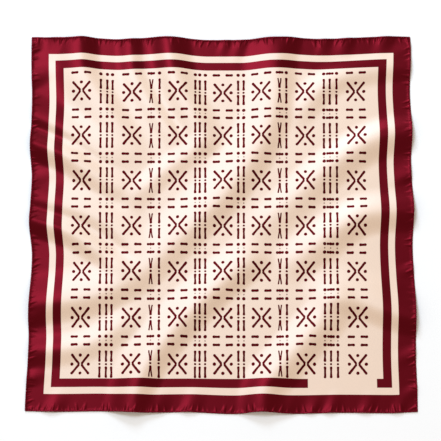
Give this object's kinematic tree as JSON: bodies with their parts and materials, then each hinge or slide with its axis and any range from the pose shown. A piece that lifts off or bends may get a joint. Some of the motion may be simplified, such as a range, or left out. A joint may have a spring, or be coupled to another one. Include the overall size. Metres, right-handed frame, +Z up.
{
  "type": "square scarf",
  "caption": "Square satin scarf laid flat in soft diagonal folds, with a narrow rolled hem on each edge.",
  "frame": {"origin": "middle of the laid square, on the surface that it rests on", "axes": "+X right along the front edge, +Y away from the viewer, +Z up out of the cloth"},
  "size_m": [0.8951, 0.9003, 0.0176],
  "materials": {
    "printed_satin": "silk satin printed in wine red on cream",
    "wine_hem": "wine-red silk satin, rolled and stitched"
  },
  "bodies": {
    "root": {"panel": "printed_satin", "hem_front": "wine_hem", "hem_right": "wine_hem", "hem_back": "wine_hem", "hem_left": "wine_hem"}
  },
  "joints": []
}
